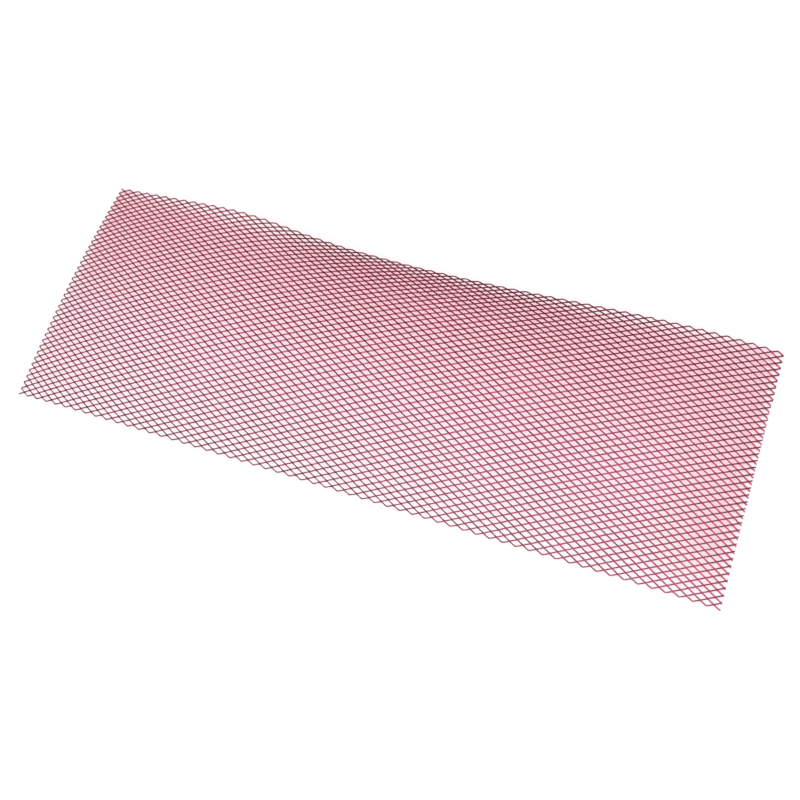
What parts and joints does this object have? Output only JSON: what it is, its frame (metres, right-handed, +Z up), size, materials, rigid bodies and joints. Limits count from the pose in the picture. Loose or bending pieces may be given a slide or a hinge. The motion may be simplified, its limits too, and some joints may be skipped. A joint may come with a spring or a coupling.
{
  "type": "expanded aluminium mesh sheet",
  "caption": "A coated expanded metal sheet with small diamond cells, gently bulged along its middle, to be cut and fastened behind a car grille opening.",
  "frame": {"origin": "on the floor, under the middle of the sheet's outline", "axes": "+X along the long way of the cells, +Y across the sheet from its near edge, towards which it bows, to its far edge, +Z up"},
  "size_m": [0.9995, 0.3612, 0.0604],
  "materials": {
    "mesh_coating": "glossy dark red coating"
  },
  "bodies": {
    "root": {"mesh_left_end": "mesh_coating", "mesh_near_1": "mesh_coating", "mesh_mid_near_1": "mesh_coating", "mesh_mid_far_1": "mesh_coating", "mesh_far_1": "mesh_coating", "mesh_near_2": "mesh_coating", "mesh_mid_near_2": "mesh_coating", "mesh_mid_far_2": "mesh_coating", "mesh_far_2": "mesh_coating", "mesh_near_3": "mesh_coating", "mesh_mid_near_3": "mesh_coating", "mesh_mid_far_3": "mesh_coating", "mesh_far_3": "mesh_coating", "mesh_near_4": "mesh_coating", "mesh_mid_near_4": "mesh_coating", "mesh_mid_far_4": "mesh_coating", "mesh_far_4": "mesh_coating", "mesh_near_5": "mesh_coating", "mesh_mid_near_5": "mesh_coating", "mesh_mid_far_5": "mesh_coating", "mesh_far_5": "mesh_coating", "mesh_right_end": "mesh_coating"}
  },
  "joints": []
}
